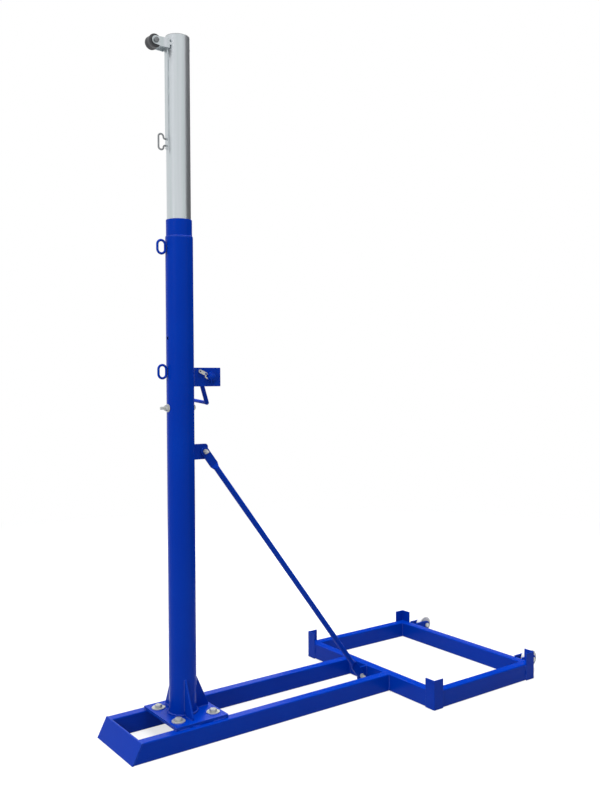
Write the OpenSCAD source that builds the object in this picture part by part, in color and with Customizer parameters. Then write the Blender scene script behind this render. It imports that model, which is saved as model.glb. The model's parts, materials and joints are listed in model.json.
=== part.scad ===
// Freestanding volleyball net post: a telescopic post bolted to a wheeled ballast trolley.
// X runs along the rails away from the net, Y runs across them, Z is up.

/* [Post] */
// Outside diameter of the lower post
post_d = 101.6; // [98:0.1:106]
// Wall of the lower post
post_wall = 3; // [2.5:0.1:3.5]
// Height of the lower post's top edge above the floor
post_top = 1830; // [1780:1:1860]
// Height of the lock bolt's axis above the floor
lock_z = 1209; // [1190:1:1230]
// Distance from the lock bolt up to the spare height hole
hole_pitch = 255; // [200:5:300]
// Diameter of the height holes
lock_hole_d = 14; // [13:0.5:17]
// Height of the guide sleeve above the lower post
sleeve_up = 66; // [30:1:80]
// Length of the guide sleeve inside the lower post
sleeve_in = 120; // [60:5:160]
// Gap all round between the guide sleeve and the lower post
sleeve_gap = 0.1; // [0.05:0.01:0.2]

/* [Mast] */
// Outside diameter of the sliding mast
mast_d = 88; // [86:0.1:89.5]
// Wall of the sliding mast
mast_wall = 3; // [2:0.1:4]
// Height of the mast's top above the floor at its lowest setting
mast_top = 2560; // [2450:5:2650]
// Gap all round between the mast and the guide sleeve
mast_gap = 0.3; // [0.2:0.05:0.4]
// Thickness of the mast's end cap
cap_t = 3; // [2:0.5:8]
// Depth of the end cap's plug
cap_plug = 22; // [10:1:40]
// Width of the flat bar on the net side of the mast
strip_w = 20; // [14:1:24]
// Thickness of that flat bar
strip_t = 4; // [3:0.5:6]
// Drop from the mast's top to the mast hook's middle
mast_hook_drop = 388; // [300:1:450]

/* [Net roller] */
// Diameter of the roller over its flanges
roller_d = 48; // [42:1:52]
// Length of the roller
roller_w = 40; // [30:1:50]
// Depth of the roller's groove
roller_groove = 4; // [2:0.5:6]
// Distance from the post's axis to the roller's axis
roller_reach = 98; // [92:1:115]
// Drop from the mast's top to the roller's axis
roller_drop = 38; // [34:1:60]
// Diameter of the roller bolt
roller_bolt_d = 10; // [8:1:12]
// Thickness of the yoke's plates
yoke_t = 4; // [3:0.5:5]
// Height of the yoke where it meets the mast
yoke_h = 34; // [30:1:40]
// Radius of the yoke's rounded ears
yoke_ear = 15; // [13:0.5:16]
// Gap at each end of the roller
roller_gap = 1; // [0.5:0.1:2]

/* [Hooks] */
// Diameter of the wire of the two hooks on the post
hook_wire = 8; // [6:0.5:8]
// Bend radius on the wire's middle line where a post hook leaves the post
hook_root_r = 5; // [4.5:0.5:8]
// Bend radius on the wire's middle line at the two ends of a post hook's loop
hook_end_r = 14; // [10:0.5:15]
// Height of the straight leg of a post hook's loop
hook_leg = 21; // [18:1:40]
// Drop from the lower post's top edge to the upper post hook's middle
hook_high_drop = 36; // [32:1:120]
// Height of the lower post hook's middle
hook_low = 1342; // [1300:1:1360]
// Diameter of the mast hook's wire
mast_hook_wire = 6.5; // [5:0.5:7]
// Bend radius on the wire's middle line where the mast hook leaves its flat bar
mast_hook_root_r = 6; // [5:0.5:8]
// Bend radius on the wire's middle line at the two ends of the mast hook's loop
mast_hook_end_r = 10; // [8:0.5:12]
// Height of the straight leg of the mast hook's loop
mast_hook_leg = 36; // [30:1:50]

/* [Rails] */
// Width of the rectangular tube
rail_w = 40; // [35:1:45]
// Height of the rectangular tube
rail_h = 70; // [60:1:80]
// Wall of the rectangular tube
rail_wall = 3; // [2:0.5:4]
// Corner radius of the rectangular tube
rail_r = 4; // [3.5:0.5:6]
// Width over the two rails
base_w = 297; // [290:1:320]
// Distance from the post's axis to the toe's lower edge
toe_reach = 275; // [220:1:320]
// How far the toe leans back over the tube's height
toe_rake = 36; // [10:1:50]
// Thickness of the toe plate
toe_t = 5; // [3:0.5:8]

/* [Ballast frame] */
// Distance from the post's axis to the frame
frame_reach = 896; // [850:1:950]
// Length of the frame along the rails
frame_l = 603; // [520:1:650]
// Width of the frame across the rails
frame_w = 824; // [780:2:860]
// Leg of the angle at each corner
corner_leg = 50; // [45:1:60]
// Thickness of that angle
corner_t = 4; // [3:0.5:6]
// Height of that angle above the floor
corner_h = 118; // [100:1:150]

/* [Post foot] */
// Length of the two foot plates along the rails
plate_l = 214; // [205:1:240]
// Width of the two foot plates
plate_w = 260; // [250:2:280]
// Thickness of each foot plate
plate_t = 6; // [5:0.5:8]
// Distance from the post's axis to the plates' middle
plate_shift = 11; // [0:1:16]
// Distance between the foot bolts along the rails
foot_bolts_x = 144; // [140:1:150]
// Distance between the foot bolts across the rails
foot_bolts_y = 158; // [140:1:164]
// Diameter of the foot bolts
foot_bolt_d = 16; // [12:1:18]
// Outside diameter of the foot bolts' washers
foot_washer_d = 50; // [36:1:52]
// Thickness of the foot bolts' washers
foot_washer_t = 3; // [2:0.5:4]
// Height of the gussets
gusset_h = 133; // [100:1:180]
// Length of the gussets along the plate
gusset_l = 55; // [40:1:60]
// Thickness of the gussets
gusset_t = 6; // [4:0.5:8]
// Offset of the two side gussets toward the net
gusset_shift = 15; // [0:1:18]
// Leg of the weld bead round the post's foot
foot_bead = 6; // [3:0.5:8]

/* [Wheels] */
// Diameter of the wheels
wheel_d = 80; // [70:1:90]
// Width of the wheels
wheel_w = 28; // [22:1:32]
// Distance from the frame to the wheels' axle
wheel_reach = 70; // [60:1:80]
// Height of the wheels' axle
wheel_z = 54; // [50:1:60]
// Distance from the frame's front and rear faces in to each wheel's middle
wheel_inset = 78; // [75:1:120]
// Thickness of the wheel forks' plates
fork_t = 6; // [4:0.5:8]
// Gap between a wheel and its fork plates
fork_gap = 3; // [2:0.5:4]
// Radius of the fork plates' rounded ends
fork_r = 20; // [17:0.5:22]
// Diameter of the axle bolts
axle_d = 12; // [10:1:14]

/* [Winch] */
// Height of the winch shaft
winch_z = 1322; // [1300:1:1330]
// Distance from the post's axis to the winch shaft
winch_reach = 114; // [112:1:125]
// Height of the winch plates
winch_h = 70; // [66:1:80]
// Distance from the winch shaft to the plates' free end
winch_end = 41; // [36:1:50]
// Gap between the winch plates
winch_gap = 46; // [40:1:50]
// Thickness of the winch plates
winch_t = 5; // [4:0.5:6]
// Diameter of the winch shaft
shaft_d = 16; // [14:1:18]
// Diameter of the winch drum
drum_d = 38; // [30:1:44]
// Diameter of the drum's flanges
drum_flange_d = 60; // [52:1:62]
// Diameter of the ratchet wheel over its teeth
ratchet_d = 41; // [38:0.5:42]
// Depth of the ratchet's teeth
ratchet_depth = 4; // [3:0.5:5]
// Thickness of the ratchet wheel
ratchet_t = 6; // [5:0.5:8]
// Number of ratchet teeth
ratchet_n = 12; // [10:1:16]
// Distance from the winch shaft back to the pawl's pin
pawl_back = 25; // [24:0.5:30]
// Height of the pawl's pin above the winch shaft
pawl_up = 11.5; // [11:0.5:14]
// Diameter of the pawl's pin
pawl_pin_d = 6; // [5:0.5:8]
// Width of the pawl's lever
pawl_w = 13; // [11:0.5:13]
// Length of the crank arm between its two ends
crank_l = 103; // [90:1:115]
// Lean of the crank arm from straight down, away from the post
crank_lean = 17; // [0:1:40]
// Width of the crank arm
crank_w = 16; // [14:1:20]
// Thickness of the crank arm
crank_t = 6; // [5:0.5:8]
// Diameter of the crank's grip rod
grip_d = 14; // [10:0.5:16]
// Length of the crank's grip rod
grip_l = 112; // [90:1:130]
// Angle by which the grip rod rises toward its free end
grip_rise = 5; // [0:1:8]

/* [Brace] */
// Outside diameter of the brace tube
brace_d = 22; // [18:0.5:24]
// Wall of the brace tube
brace_wall = 2; // [1.5:0.5:3]
// Width of the brace's flattened ends
brace_flat_w = 34; // [28:1:36]
// Thickness of the brace's flattened ends
brace_flat_t = 5; // [4:0.5:6]
// Length of the flattened ends from their bolt
brace_flat_l = 66; // [40:1:75]
// Length over which the brace turns from flat to round
brace_neck = 16; // [12:1:25]
// Thickness of the two brace lugs
lug_t = 8; // [6:0.5:10]
// Diameter of the brace bolts
brace_bolt_d = 10; // [8:1:12]
// Length of thread that stands out past the brace nuts
brace_thread = 15; // [4:1:22]
// Height of the brace's upper bolt
brace_top_z = 1043; // [1000:1:1080]
// Distance from the post's axis to the brace's upper bolt
brace_top_x = 98; // [92:0.5:110]
// Height of the brace's lower bolt
brace_low_z = 33; // [26:0.5:38]
// Distance from the ballast frame to the brace's lower bolt
brace_low_gap = 34; // [22:0.5:40]
// Height of the two brace lugs
lug_h = 58; // [50:1:62]
// Height of the lower lug's bottom edge above the floor
lug_low_z = 10; // [4:1:12]
// Radius of the lugs' outer corners
lug_r = 12; // [6:1:14]
// Distance from the brace bolts to the lugs' outer edge
lug_edge = 15; // [13:0.5:20]

/* [Hidden] */
$fn = 64;

blue = [0.02, 0.14, 0.60];
silver = [0.77, 0.79, 0.80];
zinc = [0.80, 0.81, 0.80];
dark_grey = [0.22, 0.22, 0.23];
light_grey = [0.55, 0.56, 0.57];
white = [0.90, 0.90, 0.88];

// Fits
run_gap = 0.08;      // radius gap of a turning part on its pin
seat_gap = 0.3;      // gap between pieces that move past each other
bolt_gap = 0.1;      // radius gap of a bolt in a nut or washer
hole_gap = 0.5;      // radius gap of a bolt in a plate
cap_gap = 0.1;       // radius gap of the end cap's plug in the mast

post_r = post_d / 2;
mast_r = mast_d / 2;
plate_top = rail_h + 2 * plate_t;
frame_mid_x = frame_reach + frame_l / 2;
frame_end = frame_reach + frame_l;
axle_x = frame_end + wheel_reach;
wheel_y = frame_w / 2 - wheel_inset;
mid_x = (axle_x + wheel_d / 2 - toe_reach) / 2;

lock_d = lock_hole_d - 2;
lock_washer_t = 3;
lock_washer_d = 30;
mast_foot = lock_z + lock_d / 2 + seat_gap;

roller_z = mast_top - roller_drop;
yoke_back_x = -mast_r - yoke_t;
yoke_in = roller_w / 2 + roller_gap;
yoke_out = yoke_in + yoke_t;
rivet_r = 4;
strip_x = -mast_r - strip_t;
mast_hook_z = mast_top - mast_hook_drop;

winch_in = winch_gap / 2;
winch_out = winch_in + winch_t;
crank_y = post_r + 3;
ratchet_y = -winch_out - 1 - ratchet_t;
ratchet_r = ratchet_d / 2;
catch_a = 203;       // angle of the tooth face that the pawl's claw holds
shaft_nut_h = 8;     // the thin nut on the winch shaft
grip_peg_d = crank_w / 2;
pawl_x = winch_reach - pawl_back;
pawl_z = winch_z + pawl_up;
pawl_t = ratchet_t - 1;
pawl_y = -winch_out - 1;

fork_in = wheel_w / 2 + fork_gap;
fork_out = fork_in + fork_t;
brace_low_x = frame_reach - brace_low_gap;
brace_y = -(lug_t + brace_flat_t) / 2;

// A head or nut's size for a bolt of diameter d: width over flats and height
function hex_flats(d) = d < 7 ? 10 : d < 9 ? 13 : d < 11 ? 17 : d < 13 ? 19 : d < 15 ? 22 : 24;
function head_h(d) = round(d * 0.65);
function nut_h(d) = round(d * 0.85);

// Shared shapes

module tube(od, wall, h) {
  difference() {
    cylinder(d = od, h = h);
    translate([0, 0, -1]) cylinder(d = od - 2 * wall, h = h + 2);
  }
}

module round_square(w, h, r) {
  translate([r, 0]) square([w - 2 * r, h]);
  translate([0, r]) square([w, h - 2 * r]);
  for (x = [r, w - r], y = [r, h - r]) translate([x, y]) circle(r = r, $fn = 32);
}

// Rectangular tube along X, from x = 0, across y = -rail_w/2 to rail_w/2
module box_tube(len) {
  rotate([90, 0, 90]) linear_extrude(len) translate([-rail_w / 2, 0]) difference() {
    round_square(rail_w, rail_h, rail_r);
    translate([rail_wall, rail_wall])
      round_square(rail_w - 2 * rail_wall, rail_h - 2 * rail_wall, max(rail_r - rail_wall, 0.5));
  }
}

// Hexagon of a given width over flats, along +Z
module hexagon(flats, h) cylinder(d = flats / cos(30), h = h, $fn = 6);

// Bolt along +Z with its head under z = 0 and its shank of length len above
module hex_bolt(d, len) {
  translate([0, 0, -head_h(d)]) intersection() {
    hexagon(hex_flats(d), head_h(d));
    translate([0, 0, -head_h(d)]) cylinder(r1 = hex_flats(d) * 0.5 - 1, r2 = hex_flats(d) * 0.5 + 5,
      h = 2 * head_h(d));
  }
  cylinder(d = d, h = len - 1);
  translate([0, 0, len - 1]) cylinder(d1 = d, d2 = d - 2, h = 1);
}

module hex_nut(d, h) {
  difference() {
    intersection() {
      hexagon(hex_flats(d), h);
      cylinder(r1 = hex_flats(d) * 0.5 + h, r2 = hex_flats(d) * 0.5, h = h);
    }
    translate([0, 0, -1]) cylinder(r = d / 2 + bolt_gap, h = h + 2);
  }
}

module washer(od, d, t) {
  difference() {
    cylinder(d = od, h = t);
    translate([0, 0, -1]) cylinder(r = d / 2 + bolt_gap, h = t + 2);
  }
}

// Bent wire, part of a circle of radius r in the XZ plane, from angle a by sweep b
module wire_bend(wire, r, a, b) {
  rotate([90, 0, 0]) rotate(a) rotate_extrude(angle = b) translate([r, 0])
    circle(d = wire, $fn = 24);
}

// Closed cord hook that stands out along +X: two feet that start at x = -sink, and one long loop
module cord_hook(wire, root_r, end_r, leg, sink) {
  loop_x = 2 * root_r + end_r;
  for (s = [0, 1]) mirror([0, 0, s]) {
    translate([-sink, 0, leg / 2 - root_r]) rotate([0, 90, 0])
      cylinder(d = wire, h = root_r + sink, $fn = 24);
    translate([root_r, 0, leg / 2]) wire_bend(wire, root_r, -90, 90);
    translate([loop_x, 0, leg / 2]) wire_bend(wire, end_r, 0, 180);
  }
  translate([loop_x + end_r, 0, -leg / 2]) cylinder(d = wire, h = leg, $fn = 24);
}

module foot_bolt_places() {
  for (x = [-0.5, 0.5], y = [-0.5, 0.5])
    translate([plate_shift + x * foot_bolts_x, y * foot_bolts_y, 0]) children();
}

// Trolley

module rail(side) {
  color(blue) difference() {
    translate([-toe_reach, side * (base_w - rail_w) / 2, 0]) box_tube(toe_reach + frame_reach);
    toe_space();
  }
}

// The toe plate's space and all in front of it
module toe_space() {
  slope_t = toe_t / cos(atan(toe_rake / rail_h));
  translate([-toe_reach, base_w, 0]) rotate([90, 0, 0]) linear_extrude(2 * base_w) polygon([
    [-1 - toe_rake / rail_h, -1], [slope_t - toe_rake / rail_h, -1],
    [slope_t + toe_rake * (1 + 1 / rail_h), rail_h + 1], [-1, rail_h + 1]
  ]);
}

module toe_plate() {
  slope_t = toe_t / cos(atan(toe_rake / rail_h));
  color(blue) translate([-toe_reach, base_w / 2, 0]) rotate([90, 0, 0]) linear_extrude(base_w)
    polygon([[0, 0], [slope_t, 0], [toe_rake + slope_t, rail_h], [toe_rake, rail_h]]);
}

// Frame tube along X, len over its outside edge, cut to a mitre at both ends
module mitred_tube(len) {
  intersection() {
    translate([-len / 2, rail_w / 2, 0]) box_tube(len);
    translate([0, 0, -1]) linear_extrude(rail_h + 2) polygon([
      [-len / 2, 0], [len / 2, 0], [len / 2 - rail_w, rail_w], [rail_w - len / 2, rail_w]
    ]);
  }
}

module frame_tube(angle, len, off) {
  color(blue) translate([frame_mid_x, 0, 0]) rotate(angle) translate([0, -off, 0]) mitred_tube(len);
}

// Angle that stands outside the frame's corner; sx and sy say which corner
module corner_angle(sx, sy) {
  color(blue) translate([frame_mid_x + sx * frame_l / 2, sy * frame_w / 2, 0])
    mirror([sx > 0 ? 1 : 0, 0, 0]) mirror([0, sy > 0 ? 1 : 0, 0])
      translate([-corner_t, -corner_t, 0]) linear_extrude(corner_h) difference() {
        square(corner_leg);
        translate([corner_t, corner_t]) square(corner_leg);
        difference() {
          square(corner_t / 2);
          translate([corner_t / 2, corner_t / 2]) circle(r = corner_t / 2, $fn = 32);
        }
      }
}

module foot_plate(z) {
  color(blue) difference() {
    translate([plate_shift - plate_l / 2, -plate_w / 2, z]) cube([plate_l, plate_w, plate_t]);
    foot_bolt_places() translate([0, 0, z - 1]) cylinder(r = foot_bolt_d / 2 + hole_gap, h = plate_t + 2);
  }
}

// Gusset outline: x away from the post's axis, y up from the plate
module gusset_outline() {
  toe_h = 8;
  snipe = foot_bead + 4;
  polygon([
    [0, snipe], [post_r, snipe], [post_r + snipe, 0], [post_r + gusset_l, 0],
    [post_r + gusset_l, toe_h], [post_r, gusset_h], [0, gusset_h]
  ]);
}

module gusset(angle, shift) {
  color(blue) difference() {
    translate([0, 0, plate_top]) rotate(angle) translate([0, gusset_t / 2 + shift, 0])
      rotate([90, 0, 0]) linear_extrude(gusset_t) gusset_outline();
    translate([0, 0, plate_top - 1]) cylinder(d = post_d, h = gusset_h + 2);
    translate([0, 0, plate_top]) foot_bead_space();
  }
}

// Cone that clears the weld bead at the post's foot
module foot_bead_space() {
  translate([0, 0, -1]) cylinder(r1 = post_r + foot_bead + 2, r2 = post_r, h = foot_bead + 2);
}

module foot_bolts() {
  grip = 2 * plate_t + foot_washer_t;
  color(zinc) foot_bolt_places() translate([0, 0, plate_top + foot_washer_t]) rotate([180, 0, 0])
    hex_bolt(foot_bolt_d, grip + foot_washer_t + nut_h(foot_bolt_d) + 5);
}

module foot_washers() {
  color(zinc) foot_bolt_places() {
    translate([0, 0, plate_top]) washer(foot_washer_d, foot_bolt_d, foot_washer_t);
    translate([0, 0, rail_h - foot_washer_t]) washer(foot_bolt_d * 2, foot_bolt_d, foot_washer_t);
  }
}

module foot_nuts() {
  color(zinc) foot_bolt_places() translate([0, 0, rail_h - foot_washer_t]) rotate([180, 0, 0])
    hex_nut(foot_bolt_d, nut_h(foot_bolt_d));
}

// Post

module height_holes() {
  for (z = [lock_z, lock_z + hole_pitch]) translate([-post_r - 1, 0, z]) rotate([0, 90, 0])
    cylinder(d = lock_hole_d, h = post_d + 2);
}

module main_post() {
  color(blue) {
    difference() {
      translate([0, 0, plate_top]) tube(post_d, post_wall, post_top - plate_top);
      height_holes();
    }
    translate([0, 0, plate_top]) rotate_extrude() polygon([
      [post_r, 0], [post_r + foot_bead, 0], [post_r + foot_bead * 0.35, foot_bead * 0.35],
      [post_r, foot_bead]
    ]);
  }
}

module guide_sleeve() {
  sleeve_r = post_r - post_wall - sleeve_gap;
  bore_r = mast_r + mast_gap;
  bead_r = post_r - sleeve_r;
  color(blue) difference() {
    union() {
      translate([0, 0, post_top - sleeve_in]) cylinder(r = sleeve_r, h = sleeve_in + sleeve_up);
      translate([0, 0, post_top]) rotate_extrude() intersection() {
        translate([sleeve_r, 0]) circle(r = bead_r, $fn = 48);
        translate([sleeve_r - 1, 0]) square(bead_r + 2);
      }
    }
    translate([0, 0, post_top - sleeve_in - 1]) cylinder(r = bore_r, h = sleeve_in + sleeve_up + 2);
  }
}

module post_hook(z) {
  color(blue) difference() {
    translate([-post_r, 0, z]) rotate(180)
      cord_hook(hook_wire, hook_root_r, hook_end_r, hook_leg, 1);
    translate([0, 0, z - hook_leg]) cylinder(d = post_d, h = 2 * hook_leg);
  }
}

// Brace

// Lug outline: x out to the end, y up, with its two outer corners rounded
module lug_outline(end) {
  square([end - lug_r, lug_h]);
  translate([0, lug_r]) square([end, lug_h - 2 * lug_r]);
  for (z = [lug_r, lug_h - lug_r]) translate([end - lug_r, z]) circle(r = lug_r);
}

module brace_lug_high() {
  color(blue) difference() {
    translate([0, lug_t / 2, brace_top_z - lug_h / 2]) rotate([90, 0, 0]) linear_extrude(lug_t)
      lug_outline(brace_top_x + lug_edge);
    translate([0, 0, brace_top_z - lug_h]) cylinder(d = post_d, h = 2 * lug_h);
    brace_hole(brace_top_x, brace_top_z);
  }
}

module brace_lug_low() {
  color(blue) difference() {
    translate([frame_reach, -lug_t / 2, lug_low_z]) rotate([90, 0, 180]) linear_extrude(lug_t)
      lug_outline(brace_low_gap + lug_edge);
    brace_hole(brace_low_x, brace_low_z);
  }
}

module brace_hole(x, z) {
  translate([x, lug_t, z]) rotate([90, 0, 0]) cylinder(r = brace_bolt_d / 2 + hole_gap, h = 2 * lug_t);
}

// Flattened end of the brace, from its bolt at x = 0 to where the brace is round
module brace_end(round_x) {
  difference() {
    union() {
      translate([0, brace_flat_t / 2, 0]) rotate([90, 0, 0]) cylinder(d = brace_flat_w, h = brace_flat_t);
      translate([0, -brace_flat_t / 2, -brace_flat_w / 2]) cube([brace_flat_l, brace_flat_t, brace_flat_w]);
    }
    translate([0, brace_flat_t, 0]) rotate([90, 0, 0])
      cylinder(r = brace_bolt_d / 2 + hole_gap, h = 2 * brace_flat_t);
  }
  hull() {
    translate([brace_flat_l - 0.01, -brace_flat_t / 2, -brace_flat_w / 2])
      cube([0.01, brace_flat_t, brace_flat_w]);
    translate([round_x - 0.01, 0, 0]) rotate([0, 90, 0]) cylinder(d = brace_d, h = 0.01, $fn = 32);
  }
}

module brace() {
  dx = brace_low_x - brace_top_x;
  dz = brace_low_z - brace_top_z;
  len = norm([dx, dz]);
  round_x = brace_flat_l + brace_neck;
  color(blue) translate([brace_top_x, brace_y, brace_top_z]) rotate([0, -atan2(dz, dx), 0]) {
    brace_end(round_x);
    translate([len, 0, 0]) rotate(180) brace_end(round_x);
    translate([round_x - 1, 0, 0]) rotate([0, 90, 0]) tube(brace_d, brace_wall, len - 2 * round_x + 2);
  }
}

module brace_bolts() {
  stack = brace_flat_t + lug_t;
  color(zinc) for (p = [[brace_top_x, brace_top_z], [brace_low_x, brace_low_z]])
    translate([p[0], lug_t / 2, p[1]]) rotate([90, 0, 0])
      hex_bolt(brace_bolt_d, stack + nut_h(brace_bolt_d) + brace_thread);
}

module brace_nuts() {
  color(zinc) for (p = [[brace_top_x, brace_top_z], [brace_low_x, brace_low_z]])
    translate([p[0], brace_y - brace_flat_t / 2, p[1]]) rotate([90, 0, 0])
      hex_nut(brace_bolt_d, nut_h(brace_bolt_d));
}

// Winch

module winch_plate(side) {
  y = side > 0 ? winch_in : -winch_out;
  end_x = winch_reach + winch_end;
  color(blue) difference() {
    translate([0, y + winch_t, winch_z - winch_h / 2]) rotate([90, 0, 0]) linear_extrude(winch_t)
      translate([post_r / 2, 0]) round_square(end_x - post_r / 2, winch_h, 3);
    translate([0, 0, winch_z - winch_h]) cylinder(d = post_d, h = 2 * winch_h);
    translate([winch_reach, y - 1, winch_z]) rotate([-90, 0, 0])
      cylinder(r = shaft_d / 2 + run_gap, h = winch_t + 2);
    if (side < 0) translate([pawl_x, y - 1, pawl_z]) rotate([-90, 0, 0])
      cylinder(d = pawl_pin_d, h = winch_t + 2);
  }
}

module winch_shaft() {
  front = ratchet_y - shaft_nut_h - 1.5;
  back = crank_y + crank_t + 2;
  color(blue) translate([winch_reach, front, winch_z]) rotate([-90, 0, 0]) {
    cylinder(d1 = shaft_d - 2, d2 = shaft_d, h = 1);
    translate([0, 0, 1]) cylinder(d = shaft_d, h = back - front - 2);
    translate([0, 0, back - front - 1]) cylinder(d1 = shaft_d, d2 = shaft_d - 2, h = 1);
  }
}

module winch_drum() {
  flange_t = 3;
  half = winch_in - 1;
  color(blue) translate([winch_reach, 0, winch_z]) rotate([-90, 0, 0]) rotate_extrude() polygon([
    [shaft_d / 2, -half], [drum_flange_d / 2, -half], [drum_flange_d / 2, flange_t - half],
    [drum_d / 2, flange_t - half], [drum_d / 2, half - flange_t],
    [drum_flange_d / 2, half - flange_t], [drum_flange_d / 2, half], [shaft_d / 2, half]
  ]);
}

// Saw-tooth outline in the XZ plane as seen from the front; grow widens every face
module ratchet_outline(grow) {
  step = 360 / ratchet_n;
  lean = 2;
  root_r = ratchet_r - ratchet_depth;
  polygon([for (i = [0:ratchet_n - 1]) for (r = [root_r, ratchet_r])
    let (a = catch_a + i * step + (r > root_r ? lean : 0) - asin(grow / r))
      (r + grow) * [cos(a), sin(a)]]);
}

module ratchet_wheel() {
  color(blue) translate([winch_reach, ratchet_y + ratchet_t, winch_z]) rotate([90, 0, 0])
    linear_extrude(ratchet_t) difference() {
      ratchet_outline(0);
      circle(r = shaft_d / 2);
    }
}

module ratchet_nut() {
  color(blue) translate([winch_reach, ratchet_y, winch_z]) rotate([90, 0, 0])
    hex_nut(shaft_d, shaft_nut_h);
}

module crank_arm() {
  color(blue) translate([winch_reach, crank_y, winch_z]) rotate([0, -crank_lean, 0])
    translate([0, crank_t, 0]) rotate([90, 0, 0]) linear_extrude(crank_t) difference() {
      union() {
        translate([-crank_w / 2, -crank_l]) square([crank_w, crank_l]);
        circle(r = shaft_d / 2 + 6);
        translate([0, -crank_l]) circle(d = crank_w);
      }
      circle(r = shaft_d / 2);
      translate([0, -crank_l]) circle(d = grip_peg_d);
    }
}

// Rod with a round end that rises from the arm's outer face, and its peg through the arm
module crank_grip() {
  rod_l = grip_l - crank_t - grip_d / 2;
  color(blue) translate([winch_reach, crank_y, winch_z]) rotate([0, -crank_lean, 0])
    translate([0, 0, -crank_l]) {
      rotate([-90, 0, 0]) cylinder(d = grip_peg_d, h = crank_t + 1);
      difference() {
        translate([0, crank_t, 0]) rotate([grip_rise - 90, 0, 0]) {
          translate([0, 0, -grip_d / 2]) cylinder(d = grip_d, h = rod_l + grip_d / 2);
          translate([0, 0, rod_l]) sphere(d = grip_d, $fn = 32);
        }
        translate([-grip_d, crank_t - 2 * grip_d, -grip_d]) cube(2 * grip_d);
      }
    }
}

// Straight bar of width w from p to q, with an end at q that is a hair wider than the bar
module bar(p, q, w) {
  d = q - p;
  translate(p) rotate(atan2(d[1], d[0])) translate([0, -w / 2]) square([norm(d), w]);
  translate(q) circle(d = w + 0.1, $fn = 32);
}

// Bent lever on its pin: a heavy tail to the upper left and a claw round the ratchet's near side
module pawl() {
  tail = [-22, 9.5];
  elbow = [-1, -11];
  claw_w = 5;
  claw_gap = seat_gap + 0.1;
  claw_r = ratchet_r - ratchet_depth + claw_gap + claw_w / 2;
  claw_a = catch_a - asin((claw_w / 2 + claw_gap) / claw_r);
  claw = claw_r * [cos(claw_a), sin(claw_a)] + [pawl_back, -pawl_up];
  color(zinc) translate([winch_reach, pawl_y, winch_z]) rotate([90, 0, 0]) linear_extrude(pawl_t)
    difference() {
      translate([-pawl_back, pawl_up]) difference() {
        union() {
          circle(d = pawl_w + 0.1);
          bar([0, 0], tail, pawl_w);
          bar([0, 0], elbow, claw_w);
          bar(elbow, claw, claw_w);
        }
        circle(r = pawl_pin_d / 2 + run_gap);
        translate(tail) circle(d = 6);
      }
      ratchet_outline(seat_gap);
    }
}

// Pin fixed in the winch plate, with a flat end plate that keeps the pawl on
module pawl_pin() {
  end_t = 1.5;
  out = -pawl_y + pawl_t + 0.3;
  color(blue) translate([pawl_x, -out, pawl_z]) rotate([-90, 0, 0]) {
    cylinder(d = pawl_pin_d, h = out - winch_in);
    translate([0, 0, -end_t]) cylinder(r = pawl_pin_d / 2 + 0.5, h = end_t);
  }
}

// Lock bolt

module lock_bolt() {
  color(zinc) translate([post_r + seat_gap, 0, lock_z]) rotate([0, -90, 0])
    hex_bolt(lock_d, post_d + 2 * seat_gap + lock_washer_t + nut_h(lock_d) + 18);
}

module lock_washer() {
  color(zinc) translate([-post_r - seat_gap, 0, lock_z]) rotate([0, -90, 0])
    washer(lock_washer_d, lock_d, lock_washer_t);
}

module lock_nut() {
  color(zinc) translate([-post_r - seat_gap - lock_washer_t, 0, lock_z]) rotate([0, -90, 0])
    hex_nut(lock_d, nut_h(lock_d));
}

// Mast

module mast_tube() {
  color(silver) difference() {
    translate([0, 0, mast_foot]) tube(mast_d, mast_wall, mast_top - cap_t - mast_foot);
    translate([-mast_d, 0, roller_z]) rotate([0, 90, 0]) cylinder(r = rivet_r + bolt_gap, h = 2 * mast_d);
  }
}

module mast_cap() {
  plug_r = mast_r - mast_wall - cap_gap;
  color(light_grey) translate([0, 0, mast_top]) rotate_extrude() polygon([
    [0, 0], [mast_r - 2, 0], [mast_r - 0.6, -0.6], [mast_r, -2], [mast_r, -cap_t], [plug_r, -cap_t],
    [plug_r, -cap_t - cap_plug + 2], [plug_r - 2, -cap_t - cap_plug],
    [plug_r - 4, -cap_t - cap_plug], [plug_r - 4, -cap_t], [0, -cap_t]
  ]);
}

module mast_strip() {
  low = mast_hook_z - mast_hook_leg / 2 - 4;
  high = roller_z - yoke_h / 2;
  color(silver) difference() {
    translate([strip_x, -strip_w / 2, low]) cube([strip_t + mast_r, strip_w, high - low]);
    translate([0, 0, low - 1]) cylinder(d = mast_d, h = high - low + 2);
  }
}

module mast_hook() {
  color(silver) translate([strip_x, 0, mast_hook_z]) rotate(180)
    cord_hook(mast_hook_wire, mast_hook_root_r, mast_hook_end_r, mast_hook_leg, 0);
}

// Ear outline in the XZ plane: x out from the mast's axis toward the net, y up from the roller's axis
module yoke_ear() {
  back = mast_r;
  difference() {
    union() {
      polygon([
        [back, -yoke_h / 2], [roller_reach, -yoke_ear], [roller_reach, yoke_ear], [back, yoke_h / 2]
      ]);
      translate([roller_reach, 0]) circle(r = yoke_ear);
    }
    translate([roller_reach, 0]) circle(r = roller_bolt_d / 2 + bolt_gap);
  }
}

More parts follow.
